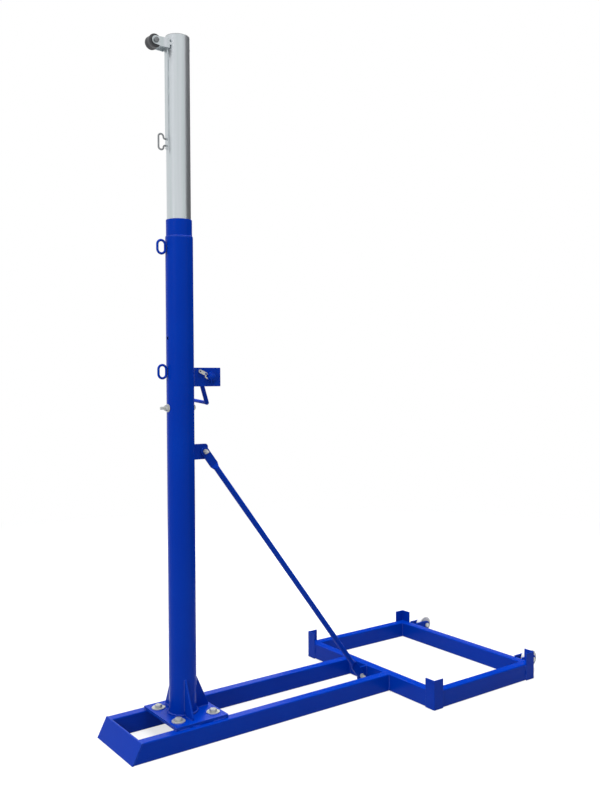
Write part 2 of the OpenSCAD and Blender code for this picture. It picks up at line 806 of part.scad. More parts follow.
module roller_yoke() {
  weld_h = 9;
  color(silver) difference() {
    translate([0, 0, roller_z]) {
      for (y = [yoke_out, -yoke_in]) mirror([1, 0, 0]) translate([0, y, 0]) rotate([90, 0, 0])
        linear_extrude(yoke_t) yoke_ear();
      translate([yoke_back_x, -yoke_in, -yoke_h / 2]) cube([yoke_t, 2 * yoke_in, yoke_h]);
      for (s = [-1, 1]) translate([-mast_r, s > 0 ? yoke_in - 4 : -yoke_out, -weld_h / 2])
        cube([mast_r / 2, yoke_t + 4, weld_h]);
    }
    translate([0, 0, roller_z - yoke_h]) cylinder(d = mast_d, h = 2 * yoke_h);
    translate([-mast_d, 0, roller_z]) rotate([0, 90, 0]) cylinder(r = rivet_r + bolt_gap, h = mast_d);
  }
}

// Through rivet that holds the yoke to the mast
module yoke_rivet() {
  color(silver) translate([0, 0, roller_z]) rotate([0, 90, 0]) {
    translate([0, 0, yoke_back_x]) cylinder(r = rivet_r, h = mast_r - yoke_back_x);
    for (z = [[yoke_back_x, 1], [mast_r, 0]]) translate([0, 0, z[0]]) mirror([0, 0, z[1]])
      rotate_extrude() intersection() {
        circle(r = rivet_r + 3);
        square([rivet_r + 3, rivet_r]);
      }
  }
}

module roller_bolt() {
  color(zinc) translate([-roller_reach, -yoke_out, roller_z]) rotate([-90, 0, 0])
    hex_bolt(roller_bolt_d, 2 * yoke_out + nut_h(roller_bolt_d) + 3);
}

module roller_nut() {
  color(zinc) translate([-roller_reach, yoke_out, roller_z]) rotate([-90, 0, 0]) hex_nut(roller_bolt_d, nut_h(roller_bolt_d));
}

module roller() {
  half = roller_w / 2;
  r = roller_d / 2;
  color(dark_grey) translate([-roller_reach, 0, roller_z]) rotate([-90, 0, 0]) rotate_extrude() polygon([
    [roller_bolt_d / 2 + run_gap, -half], [r - 1, -half], [r, 1 - half], [r, 5 - half],
    [r - roller_groove, 9 - half], [r - roller_groove, half - 9], [r, half - 5], [r, half - 1],
    [r - 1, half], [roller_bolt_d / 2 + run_gap, half]
  ]);
}

// Wheels

module fork_plate() {
  color(blue) rotate([90, 0, 0]) linear_extrude(fork_t) difference() {
    union() {
      translate([0, wheel_z - fork_r]) square([wheel_reach, 2 * fork_r]);
      translate([wheel_reach, wheel_z]) circle(r = fork_r);
    }
    translate([wheel_reach, wheel_z]) circle(r = axle_d / 2 + bolt_gap);
  }
}

module wheel_fork(side) {
  for (y = [fork_out, -fork_in]) translate([frame_end, side * wheel_y + y, 0]) fork_plate();
}

module axle_bolts() {
  color(zinc) for (side = [-1, 1]) translate([axle_x, side * wheel_y - fork_out, wheel_z])
    rotate([-90, 0, 0]) hex_bolt(axle_d, 2 * fork_out + nut_h(axle_d) + 3);
}

module axle_nuts() {
  color(zinc) for (side = [-1, 1]) translate([axle_x, side * wheel_y + fork_out, wheel_z])
    rotate([-90, 0, 0]) hex_nut(axle_d, nut_h(axle_d));
}

module wheel(side) {
  r = wheel_d / 2;
  half = wheel_w / 2;
  hub_r = 14;
  bore_r = axle_d / 2 + run_gap;
  color(white) translate([axle_x, side * wheel_y, wheel_z]) rotate([-90, 0, 0]) rotate_extrude() polygon([
    [bore_r, -half], [hub_r, -half], [hub_r + 2, 5 - half], [r - 12, 5 - half], [r - 8, 1 - half],
    [r - 3, 1 - half], [r, 4 - half], [r, half - 4], [r - 3, half - 1], [r - 8, half - 1],
    [r - 12, half - 5], [hub_r + 2, half - 5], [hub_r, half], [bore_r, half]
  ]);
}

// The origin lies on the floor under the middle of the whole object's length
module placed() translate([-mid_x, 0, 0]) children();

placed() rail(-1);  // rail_front
placed() rail(1);  // rail_rear
placed() toe_plate();
placed() frame_tube(-90, frame_w, frame_l / 2);  // frame_tube_inner
placed() frame_tube(90, frame_w, frame_l / 2);  // frame_tube_outer
placed() frame_tube(0, frame_l, frame_w / 2);  // frame_tube_front
placed() frame_tube(180, frame_l, frame_w / 2);  // frame_tube_rear
placed() corner_angle(-1, -1);  // corner_inner_front
placed() corner_angle(-1, 1);  // corner_inner_rear
placed() corner_angle(1, -1);  // corner_outer_front
placed() corner_angle(1, 1);  // corner_outer_rear
placed() foot_plate(rail_h);  // base_plate
placed() foot_plate(rail_h + plate_t);  // post_flange
placed() gusset(-90, -gusset_shift);  // gusset_front
placed() gusset(90, gusset_shift);  // gusset_rear
placed() gusset(0, 0);  // gusset_back
placed() foot_bolts();
placed() foot_washers();
placed() foot_nuts();
placed() main_post();
placed() guide_sleeve();
placed() post_hook(post_top - hook_high_drop);  // cord_hook_high
placed() post_hook(hook_low);  // cord_hook_low
placed() brace_lug_high();
placed() brace_lug_low();
placed() brace();
placed() brace_bolts();
placed() brace_nuts();
placed() winch_plate(-1);  // winch_plate_front
placed() winch_plate(1);  // winch_plate_rear
placed() winch_shaft();
placed() winch_drum();
placed() ratchet_wheel();
placed() ratchet_nut();
placed() crank_arm();
placed() crank_grip();
placed() pawl();
placed() pawl_pin();
placed() lock_bolt();
placed() lock_nut();
placed() lock_washer();
placed() mast_tube();
placed() mast_cap();
placed() mast_strip();
placed() mast_hook();
placed() roller_yoke();
placed() yoke_rivet();
placed() roller_bolt();
placed() roller_nut();
placed() roller();
placed() wheel_fork(-1);  // wheel_fork_front
placed() wheel_fork(1);  // wheel_fork_rear
placed() axle_bolts();
placed() axle_nuts();
placed() wheel(-1);  // wheel_front
placed() wheel(1);  // wheel_rear
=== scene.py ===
# Freestanding volleyball net post: finishes, weld seams, bolts, net roller and cord hooks
import json
import math
import bpy
import numpy as np
from mathutils import Matrix, Vector


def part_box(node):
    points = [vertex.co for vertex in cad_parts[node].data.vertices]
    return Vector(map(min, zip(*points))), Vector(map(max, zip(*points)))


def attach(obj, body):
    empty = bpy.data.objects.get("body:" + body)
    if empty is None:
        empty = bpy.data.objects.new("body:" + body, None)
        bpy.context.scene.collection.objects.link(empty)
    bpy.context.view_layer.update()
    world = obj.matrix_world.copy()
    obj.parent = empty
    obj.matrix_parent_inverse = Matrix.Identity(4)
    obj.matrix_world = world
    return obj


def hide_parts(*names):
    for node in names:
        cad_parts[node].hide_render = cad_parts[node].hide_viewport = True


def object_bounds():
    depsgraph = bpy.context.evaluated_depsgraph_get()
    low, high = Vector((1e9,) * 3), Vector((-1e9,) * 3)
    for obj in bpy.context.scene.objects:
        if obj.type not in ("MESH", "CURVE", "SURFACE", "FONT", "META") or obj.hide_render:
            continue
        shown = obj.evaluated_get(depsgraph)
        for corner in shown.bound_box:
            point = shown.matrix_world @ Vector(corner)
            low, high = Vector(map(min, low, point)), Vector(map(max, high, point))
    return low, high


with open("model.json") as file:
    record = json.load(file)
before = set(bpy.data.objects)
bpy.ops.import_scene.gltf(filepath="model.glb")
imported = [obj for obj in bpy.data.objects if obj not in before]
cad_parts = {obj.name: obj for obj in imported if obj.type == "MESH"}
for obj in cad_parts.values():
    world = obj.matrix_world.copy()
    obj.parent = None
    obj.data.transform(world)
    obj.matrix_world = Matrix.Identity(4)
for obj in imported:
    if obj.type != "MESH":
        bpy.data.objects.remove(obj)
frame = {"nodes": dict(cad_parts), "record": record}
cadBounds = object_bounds()
scene = bpy.context.scene
nodes = frame["nodes"]
print("frame loaded,", len(nodes), "nodes")

# All sizes are in metres
postLow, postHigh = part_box("main_post")
sleeveLow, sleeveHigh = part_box("guide_sleeve")
postX = (sleeveLow.x + sleeveHigh.x) / 2
postRadius = (sleeveHigh.x - sleeveLow.x) / 2

# Camera: where the photographer stood, measured from the post's axis
cameraSettings = {
    "fromPost": (-1.4963, -2.7877, 1.3162),
    "yaw": 0.6324,      # from +Y toward +X
    "pitch": -0.0257,
    "roll": -0.0048,
    "lens": 38.261,
    "farthest": 60,
}


def addCamera(settings):
    yaw, pitch, roll = settings["yaw"], settings["pitch"], settings["roll"]
    forward = Vector((math.sin(yaw) * math.cos(pitch), math.cos(yaw) * math.cos(pitch), math.sin(pitch)))
    right = Vector((math.cos(yaw), -math.sin(yaw), 0))
    up = right.cross(forward)
    turnedRight = right * math.cos(roll) + up * math.sin(roll)
    turnedUp = up * math.cos(roll) - right * math.sin(roll)
    camera = bpy.data.objects.new("camera", bpy.data.cameras.new("camera"))
    scene.collection.objects.link(camera)
    camera.matrix_world = Matrix((turnedRight, turnedUp, -forward)).transposed().to_4x4()
    away = settings["fromPost"]
    camera.location = (postX + away[0], away[1], away[2])
    camera.data.lens = settings["lens"]
    camera.data.clip_end = settings["farthest"]
    scene.camera = camera


addCamera(cameraSettings)


class Signal:
    # One socket's value: sums and products of Signals add Math nodes to the same tree

    def __init__(self, tree, socket):
        self.tree = tree
        self.socket = socket

    def mix(self, operation, first, second):
        return addNode(self.tree, "ShaderNodeMath", {"operation": operation}, {0: first, 1: second})

    def __add__(self, other):
        return self.mix("ADD", self, other)

    __radd__ = __add__

    def __sub__(self, other):
        return self.mix("SUBTRACT", self, other)

    def __rsub__(self, other):
        return self.mix("SUBTRACT", other, self)

    def __mul__(self, other):
        return self.mix("MULTIPLY", self, other)

    __rmul__ = __mul__

    def clamped(self, low, high):
        return addNode(self.tree, "ShaderNodeMapRange", {"clamp": True}, {
            "Value": self, "From Min": low, "From Max": high, "To Min": 0.0, "To Max": 1.0})


def addNode(tree, kind, settings=None, inputs=None, output=0):
    node = tree.nodes.new(kind)
    for name, value in (settings or {}).items():
        setattr(node, name, value)
    for name, value in (inputs or {}).items():
        socket = node.inputs[name]
        if isinstance(value, Signal):
            tree.links.new(value.socket, socket)
        else:
            socket.default_value = value
    return Signal(tree, node.outputs[output])


def link(signal, socket):
    signal.tree.links.new(signal.socket, socket)


def newFinish(name, base, roughness, metallic=0.0, specular=0.5):
    material = bpy.data.materials.new(name)
    material.use_nodes = True
    tree = material.node_tree
    shader = tree.nodes["Principled BSDF"]
    shader.inputs["Base Color"].default_value = (*base, 1)
    shader.inputs["Roughness"].default_value = roughness
    shader.inputs["Metallic"].default_value = metallic
    shader.inputs["Specular IOR Level"].default_value = specular
    return material, tree, shader


def place(tree, scale=(1, 1, 1)):
    where = addNode(tree, "ShaderNodeTexCoord", output="Object")
    return addNode(tree, "ShaderNodeMapping", inputs={"Vector": where, "Scale": scale})


def noise(tree, where, scale, detail):
    return addNode(tree, "ShaderNodeTexNoise", inputs={
        "Vector": where, "Scale": scale, "Detail": detail, "Roughness": 0.5})


def blendColor(tree, amount, first, second):
    node = tree.nodes.new("ShaderNodeMix")
    node.data_type = "RGBA"
    for socket, value in ((node.inputs[0], amount), (node.inputs[6], first), (node.inputs[7], second)):
        if isinstance(value, Signal):
            tree.links.new(value.socket, socket)
        else:
            socket.default_value = (*value, 1)
    return Signal(tree, node.outputs[2])


# Edges: the Bevel node's normal leaves the true one only beside an edge
def softEdge(tree, radius):
    return addNode(tree, "ShaderNodeBevel", {"samples": 4}, {"Radius": radius})


def edgeMask(tree, rounded, low, high):
    plain = addNode(tree, "ShaderNodeNewGeometry", output="Normal")
    dot = addNode(tree, "ShaderNodeVectorMath", {"operation": "DOT_PRODUCT"}, {0: rounded, 1: plain}, "Value")
    return (1 - dot).clamped(low, high)


# Roughness: the finish's own value less its dip, plus a share of each noise
def waveringRoughness(settings, *noises):
    shares = [signal * share for signal, share in zip(noises, settings["waver"])]
    return sum(shares[1:], shares[0]) + (settings["roughness"] - settings["dip"])


# Relief: a bump of the given depth and strength on top of the softened edge
def addRelief(tree, shader, height, rounded, relief):
    depth, strength = relief
    bump = addNode(tree, "ShaderNodeBump", inputs={
        "Height": height, "Distance": depth, "Strength": strength, "Normal": rounded})
    link(bump, shader.inputs["Normal"])


# In each finish a noise is its scale and detail, a range is where that noise goes from none to full
bluePaintSettings = {
    "color": (0.0, 0.030, 0.35),
    "light": (0.0, 0.042, 0.41),
    "lightShare": 0.35,
    "lightRange": (0.35, 0.7),
    "worn": (0.06, 0.17, 0.62),     # partly thinner, paler paint along the edges, partly a painted highlight on the tubes' rounded corners
    "wearAndHighlightShare": 0.7,
    "wearAndHighlightPatches": (0.30, 0.6),
    "edgeRange": (0.02, 0.20),
    "broad": (7, 3),
    "fine": (520, 2),
    "grain": (1700, 1),
    "grainShare": 0.3,
    "patches": (60, 4),
    "roughness": 0.25,
    "dip": 0.08,
    "waver": (0.10, 0.06),
    "specular": 0.06,
    "relief": (0.00006, 0.6),       # the powder coat's orange peel
    "edge": 0.0022,         # the tubes' rounded corners
}
# Paint lies thicker on the weld seams and shines more there
seamPaintSettings = {**bluePaintSettings, "roughness": 0.20, "specular": 0.40, "edge": 0.0004}


def bluePaint(name, settings):
    material, tree, shader = newFinish(name, settings["color"], settings["roughness"],
                                       specular=settings["specular"])
    where = place(tree)
    broad = noise(tree, where, *settings["broad"])
    fine = noise(tree, where, *settings["fine"])
    grain = noise(tree, where, *settings["grain"])
    rounded = softEdge(tree, settings["edge"])
    # Paler edges in patches: partly real wear, partly a painted highlight standing in for the lamps' sheen on
    # the rounded corners
    patches = noise(tree, where, *settings["patches"]).clamped(*settings["wearAndHighlightPatches"])
    worn = edgeMask(tree, rounded, *settings["edgeRange"]) * patches
    light = broad.clamped(*settings["lightRange"]) * settings["lightShare"]
    color = blendColor(tree, light, settings["color"], settings["light"])
    color = blendColor(tree, worn * settings["wearAndHighlightShare"], color, settings["worn"])
    link(color, shader.inputs["Base Color"])
    link(waveringRoughness(settings, broad, fine), shader.inputs["Roughness"])
    addRelief(tree, shader, fine + grain * settings["grainShare"], rounded, settings["relief"])
    return material


mastFinishSettings = {
    "color": (0.49, 0.55, 0.56),
    "streak": (0.64, 0.66, 0.70),
    "metallic": 0.80,
    "roughness": 0.33,
    "dip": 0.11,
    "waver": (0.14, 0.08),
    "lines": (900, 3),      # fine marks of the drawing die, stretched along the tube
    "lineStretch": (1, 1, 0.006),
    "lineRange": (0.3, 0.7),
    "lineShare": 0.3,
    "bands": (55, 2),
    "bandStretch": (1, 1, 0.012),
    "bandRange": (0.35, 0.65),
    "bandShare": 0.6,
    "cloud": (9, 3),
    "relief": (0.00003, 0.5),
    "edge": 0.0006,
}
# The mast's hook and the roller's bolt are darker in colour than the drawn tube
darkerMetalSettings = {**mastFinishSettings, "color": (0.17, 0.18, 0.19), "streak": (0.27, 0.28, 0.29)}


def drawnMetal(name, settings):
    material, tree, shader = newFinish(name, settings["color"], settings["roughness"],
                                       metallic=settings["metallic"])
    lines = noise(tree, place(tree, settings["lineStretch"]), *settings["lines"])
    bands = noise(tree, place(tree, settings["bandStretch"]), *settings["bands"])
    cloud = noise(tree, place(tree), *settings["cloud"])
    rounded = softEdge(tree, settings["edge"])
    streaks = (lines.clamped(*settings["lineRange"]) * settings["lineShare"]
               + bands.clamped(*settings["bandRange"]) * settings["bandShare"])
    color = blendColor(tree, streaks, settings["color"], settings["streak"])
    link(color, shader.inputs["Base Color"])
    link(waveringRoughness(settings, lines, cloud), shader.inputs["Roughness"])
    addRelief(tree, shader, lines, rounded, settings["relief"])
    return material


zincSettings = {
    "color": (0.50, 0.52, 0.51),
    "dark": (0.47, 0.50, 0.50),
    "pale": (0.56, 0.56, 0.52),
    "metallic": 0.6,
    "roughness": 0.48,
    "dip": 0.12,
    "waver": (0.15, 0.08),
    "spangle": (160, 3),
    "spangleRange": (0.35, 0.65),
    "fine": (1400, 2),
    "relief": (0.00003, 0.4),
    "edge": 0.0004,
}


def brightZinc(name, settings):
    material, tree, shader = newFinish(name, settings["color"], settings["roughness"],
                                       metallic=settings["metallic"])
    where = place(tree)
    spangle = noise(tree, where, *settings["spangle"])
    fine = noise(tree, where, *settings["fine"])
    rounded = softEdge(tree, settings["edge"])
    color = blendColor(tree, spangle.clamped(*settings["spangleRange"]), settings["dark"], settings["pale"])
    link(color, shader.inputs["Base Color"])
    link(waveringRoughness(settings, spangle, fine), shader.inputs["Roughness"])
    addRelief(tree, shader, fine, rounded, settings["relief"])
    return material


plasticSettings = {
    "dip": 0.07,
    "waver": (0.15,),
    "cloud": (40, 3),
    "fine": (900, 2),
    "scuffs": (120, 4),
    "scuffRange": (0.6, 0.8),
    "scuffShare": 0.25,
    "edgeRange": (0.02, 0.3),
    "edgeShare": 0.6,
    "relief": (0.00004, 0.4),
    "edge": 0.0006,
}
darkPlasticSettings = {**plasticSettings, "color": (0.035, 0.036, 0.040), "worn": (0.12, 0.12, 0.13),
                       "roughness": 0.45}
greyPlasticSettings = {**plasticSettings, "color": (0.36, 0.37, 0.38), "worn": (0.48, 0.48, 0.48),
                       "roughness": 0.42}
whitePlasticSettings = {**plasticSettings, "color": (0.78, 0.78, 0.75), "worn": (0.62, 0.61, 0.57),
                        "roughness": 0.40}


def mouldedPlastic(name, settings):
    material, tree, shader = newFinish(name, settings["color"], settings["roughness"])
    where = place(tree)
    cloud = noise(tree, where, *settings["cloud"])
    fine = noise(tree, where, *settings["fine"])
    rounded = softEdge(tree, settings["edge"])
    scuffs = noise(tree, where, *settings["scuffs"]).clamped(*settings["scuffRange"])
    worn = (edgeMask(tree, rounded, *settings["edgeRange"]) * settings["edgeShare"]
            + scuffs * settings["scuffShare"])
    link(blendColor(tree, worn, settings["color"], settings["worn"]), shader.inputs["Base Color"])
    link(waveringRoughness(settings, cloud), shader.inputs["Roughness"])
    addRelief(tree, shader, fine, rounded, settings["relief"])
    return material


finishes = {
    "blue_paint": bluePaint("bluePaint", bluePaintSettings),
    "mast_aluminium": drawnMetal("mastAluminium", mastFinishSettings),
    "zinc_steel": brightZinc("brightZinc", zincSettings),
    "dark_plastic": mouldedPlastic("darkPlastic", darkPlasticSettings),
    "grey_plastic": mouldedPlastic("greyPlastic", greyPlasticSettings),
    "white_plastic": mouldedPlastic("whitePlastic", whitePlasticSettings),
}
seamPaint = bluePaint("seamPaint", seamPaintSettings)
darkerMetal = drawnMetal("darkerMetal", darkerMetalSettings)

for part in frame["record"]["subparts"]:
    mesh = nodes[part["node"]].data
    mesh.materials.clear()
    mesh.materials.append(darkerMetal if part["node"] == "mast_hook" else finishes[part["material_slot"]])
print("finishes on every packed piece")

sharpAngle = math.radians(38)       # faces that meet at more than this keep a sharp edge


# Pieces are sheets of points: rows run along a piece and columns round it; a fan closes each open end
def addPiece(name, sheets, slot, body, finish=None):
    points, faces, start = [], [], 0
    for grid, looped in sheets:
        rows, cols = grid.shape[:2]
        index = np.arange(rows * cols).reshape(rows, cols) + start
        here = index if looped else index[:-1]
        ahead = np.roll(index, -1, 0) if looped else index[1:]
        quads = np.stack([here, np.roll(here, -1, 1), np.roll(ahead, -1, 1), ahead], -1).reshape(-1, 4)
        flat = grid.reshape(-1, 3)
        sheetFaces = [quads]
        if not looped:
            flat = np.vstack([flat, grid[0].mean(0), grid[-1].mean(0)])
            low = np.full(cols, start + rows * cols)
            sheetFaces.append(np.stack([low, np.roll(index[0], -1), index[0]], -1))
            sheetFaces.append(np.stack([low + 1, index[-1], np.roll(index[-1], -1)], -1))
        # Six times the volume inside the sheet: below zero its faces point inwards and are turned
        volume = 0.0
        for group in sheetFaces:
            corner = flat[group - start] - flat.mean(0)
            for k in range(1, group.shape[1] - 1):
                volume += np.einsum("ij,ij->", corner[:, 0], np.cross(corner[:, k], corner[:, k + 1]))
        for group in sheetFaces:
            faces += (group if volume > 0 else group[:, ::-1]).tolist()
        points.append(flat)
        start += len(flat)
    mesh = bpy.data.meshes.new(name)
    mesh.from_pydata(np.vstack(points).tolist(), [], faces)
    mesh.polygons.foreach_set("use_smooth", np.ones(len(mesh.polygons), bool))
    mesh.set_sharp_from_angle(angle=sharpAngle)
    mesh.materials.append(finish or finishes[slot])
    piece = bpy.data.objects.new(name, mesh)
    scene.collection.objects.link(piece)
    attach(piece, body)
    return piece


def unit(vectors):
    return vectors / np.linalg.norm(vectors, axis=-1, keepdims=True)


# Tube: p(i) + r(i) (a cos t + b sin t), with a and b square to the path at p(i)
def tubeSheet(path, radius, looped, sides):
    step = np.roll(path, -1, 0) - np.roll(path, 1, 0) if looped else np.gradient(path, axis=0)
    along = unit(step)
    guide = np.eye(3)[np.abs(along).max(0).argmin()]
    across = unit(np.cross(along, guide))
    upward = np.cross(across, along)
    turn = np.linspace(0, 2 * np.pi, sides, endpoint=False)[None, :, None]
    ring = across[:, None] * np.cos(turn) + upward[:, None] * np.sin(turn)
    return path[:, None] + radius[:, None, None] * ring


weldSettings = {
    "drop": 0.0026,     # length of one ripple
    "depth": 0.11,      # ripple height as a share of the bead's radius
    "slowDrops": 7,     # ripples to one slow swell
    "slowShare": 0.7,   # its height as a share of a ripple's
    "shift": 90,        # sets where the swell starts, so that beads of different length differ
    "step": 0.0009,     # length of one row of points
    "fewestRows": 14,
    "tip": 0.02,        # where the rounding of an open end starts, as a share of the radius
    "sides": 8,
}


# Weld bead: a tube along the seam, r(s) = r (1 + depth (sin(ripple) + share sin(swell))), round at open ends
def bead(points, radius, looped=False):
    corners = np.array(points, float)
    if looped:
        corners = np.vstack([corners, corners[:1]])
    reach = np.concatenate([[0], np.cumsum(np.linalg.norm(np.diff(corners, axis=0), axis=1))])
    total = reach[-1]
    count = max(int(total / weldSettings["step"]), weldSettings["fewestRows"])
    s = np.linspace(0, total, count, endpoint=not looped)
    path = np.stack([np.interp(s, reach, corners[:, k]) for k in range(3)], -1)
    drops = max(round(total / weldSettings["drop"]), 1)
    ripple = 2 * np.pi * drops * s / total
    swell = 2 * np.pi * max(round(drops / weldSettings["slowDrops"]), 1) * s / total
    slow = weldSettings["slowShare"] * np.sin(swell + total * weldSettings["shift"])
    thick = radius * (1 + weldSettings["depth"] * (np.sin(ripple) + slow))
    if not looped:
        end = np.clip(np.minimum(s, total - s) / radius, weldSettings["tip"], 1)
        thick = thick * np.sqrt(1 - (1 - end) ** 2)
    return tubeSheet(path, thick, looped, weldSettings["sides"]), looped


def uprightBead(x, y, low, high, radius):
    return bead([(x, y, low), (x, y, high)], radius)


# Circle of points round a centre: c + r (a cos t + b sin t)
def circle(centre, radius, first, second, count=160):
    turn = np.linspace(0, 2 * np.pi, count, endpoint=False)[:, None]
    return np.array(centre) + radius * (np.array(first) * np.cos(turn) + np.array(second) * np.sin(turn))


hookSettings = {
    "wire": 0.009,
    "bend": 0.0155,         # centreline radius of the ring's round ends
    "points": 96,
    "sides": 24,
    "weldRise": 0.012,      # height of each weld spot above or below the ring's middle
    "weldHalf": 0.005,      # half a weld spot's length
    "weldRadius": 0.0034,
}


# Oval ring: half circles of radius r on a straight leg h, x = r cos t, z = r sin t + h / 2 sign(sin t)
def addOvalHook(name):
    low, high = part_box(name)
    wire, bend, count = hookSettings["wire"] / 2, hookSettings["bend"], hookSettings["points"]
    leg = high.z - low.z - 2 * (bend + wire)
    turn = (np.arange(count) + 0.5) * 2 * np.pi / count
    path = np.column_stack([
        low.x + wire + bend + bend * np.cos(turn), np.zeros(count),
        (low.z + high.z) / 2 + bend * np.sin(turn) + leg / 2 * np.sign(np.sin(turn))])
    ring = tubeSheet(path, np.full(count, wire), True, hookSettings["sides"]), True
    piece = addPiece(name + "Ring", [ring], "blue_paint", "base")
    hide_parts(name)


# X of the post's outside on the frame's side, at y
def besidePost(y):
    return postX + math.sqrt(postRadius ** 2 - y ** 2)


postSeamSettings = {
    "collar": 0.0048,       # the first six are bead radii
    "foot": 0.0042,
    "gussetWall": 0.0026,
    "gussetFoot": 0.0028,
    "winchPlate": 0.0028,
    "lug": 0.0030,
    "collarIn": 0.0054,     # from the post's outside in to the middle of the collar's seam
    "collarRise": 0.0032,
    "footOut": 0.0034,
    "footRise": 0.0026,
    "gussetOut": 0.001,     # from a gusset's face out to the middle of its seam
    "gussetCut": 0.012,     # cut corner of the gussets, which has no seam
    "winchOut": 0.0006,
    "winchEnds": 0.002,     # seams stop this far before the piece's own ends
    "gussetEnd": 0.001,
    "lugEnds": 0.001,
}


# Seams of the post: collar, foot, gussets, hooks, winch plates and the upper lug
def postSeams(seams):
    flat = ((1, 0, 0), (0, 1, 0))
    collar = circle((postX, 0, postHigh.z + seams["collarRise"]), postRadius - seams["collarIn"], *flat)
    foot = circle((postX, 0, postLow.z + seams["footRise"]), postRadius + seams["footOut"], *flat)
    sheets = [bead(collar, seams["collar"], True), bead(foot, seams["foot"], True)]

    out, cut = seams["gussetOut"], seams["gussetCut"]
    for name, side in (("gusset_front", -1), ("gusset_rear", 1)):
        low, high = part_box(name)
        outer = low.y if side < 0 else high.y
        top = high.z - seams["gussetEnd"]
        for face, x in ((low.x, low.x - out), (high.x, high.x + out)):
            wall = side * math.sqrt(postRadius ** 2 - (face - postX) ** 2)
            sheets.append(uprightBead(x, wall, low.z + cut, top, seams["gussetWall"]))
            sheets.append(bead([(x, wall + side * cut, low.z), (x, outer, low.z)], seams["gussetFoot"]))
    low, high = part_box("gusset_back")
    top = high.z - seams["gussetEnd"]
    for face in (low.y, high.y):
        y = face + math.copysign(out, face)
        wall = besidePost(face)
        sheets.append(uprightBead(wall, y, low.z + cut, top, seams["gussetWall"]))
        sheets.append(bead([(wall + cut, y, low.z), (high.x, y, low.z)], seams["gussetFoot"]))

    radius, half = hookSettings["weldRadius"], hookSettings["weldHalf"]
    wall = postX - postRadius - radius / 2
    for name in ("cord_hook_high", "cord_hook_low"):
        low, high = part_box(name)
        middle = (low.z + high.z) / 2
        for rise in (-hookSettings["weldRise"], hookSettings["weldRise"]):
            sheets.append(uprightBead(wall, 0, middle + rise - half, middle + rise + half, radius))

    ends = seams["winchEnds"]
    for name in ("winch_plate_front", "winch_plate_rear"):
        low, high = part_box(name)
        for y in (low.y, high.y):
            wall = besidePost(y) + seams["winchOut"]
            sheets.append(uprightBead(wall, y, low.z + ends, high.z - ends, seams["winchPlate"]))
    ends = seams["lugEnds"]
    low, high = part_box("brace_lug_high")
    for y in (low.y, high.y):
        sheets.append(uprightBead(besidePost(y), y, low.z + ends, high.z - ends, seams["lug"]))
    addPiece("postSeams", sheets, "blue_paint", "base", seamPaint)


trolleySeamSettings = {
    "plateSide": 0.0027,    # the first ten are bead radii
    "plateEnd": 0.0026,
    "railEnd": 0.0028,
    "railTop": 0.0019,
    "toe": 0.0024,
    "mitre": 0.0020,
    "inside": 0.0022,
    "angle": 0.0028,
    "lug": 0.0030,
    "fork": 0.0024,
    "plateStitches": ((0.012, 0.052), (0.066, 0.096), (0.150, 0.204)),     # from the plate's left edge
    "angleStitches": ((0.006, 0.026), (0.044, 0.066)),      # heights above the floor
    "plateOut": 0.0008,     # how far the plate's seams stand out from its edge and up from the rails
    "plateEnds": 0.002,
    "railIn": 0.0006,       # how far an end seam's middle lies inside the piece's end
    "railFoot": 0.005,
    "topIn": 0.004,         # how far upright seams stop below the tubes' top, and level ones before an end
    "railTopDrop": 0.0012,
    "mitreDrop": 0.0013,
    "mitreEnds": 0.003,
    "insideFoot": 0.004,
    "toeWall": 0.0058,
    "toeShare": 0.94,       # share of the toe's slope that the seam runs along
    "lugFoot": 0.001,
    "lugTop": 0.002,
    "forkWall": 0.006,
    "forkIn": 0.0005,
    "forkFoot": 0.002,
    "forkTop": 0.003,
}


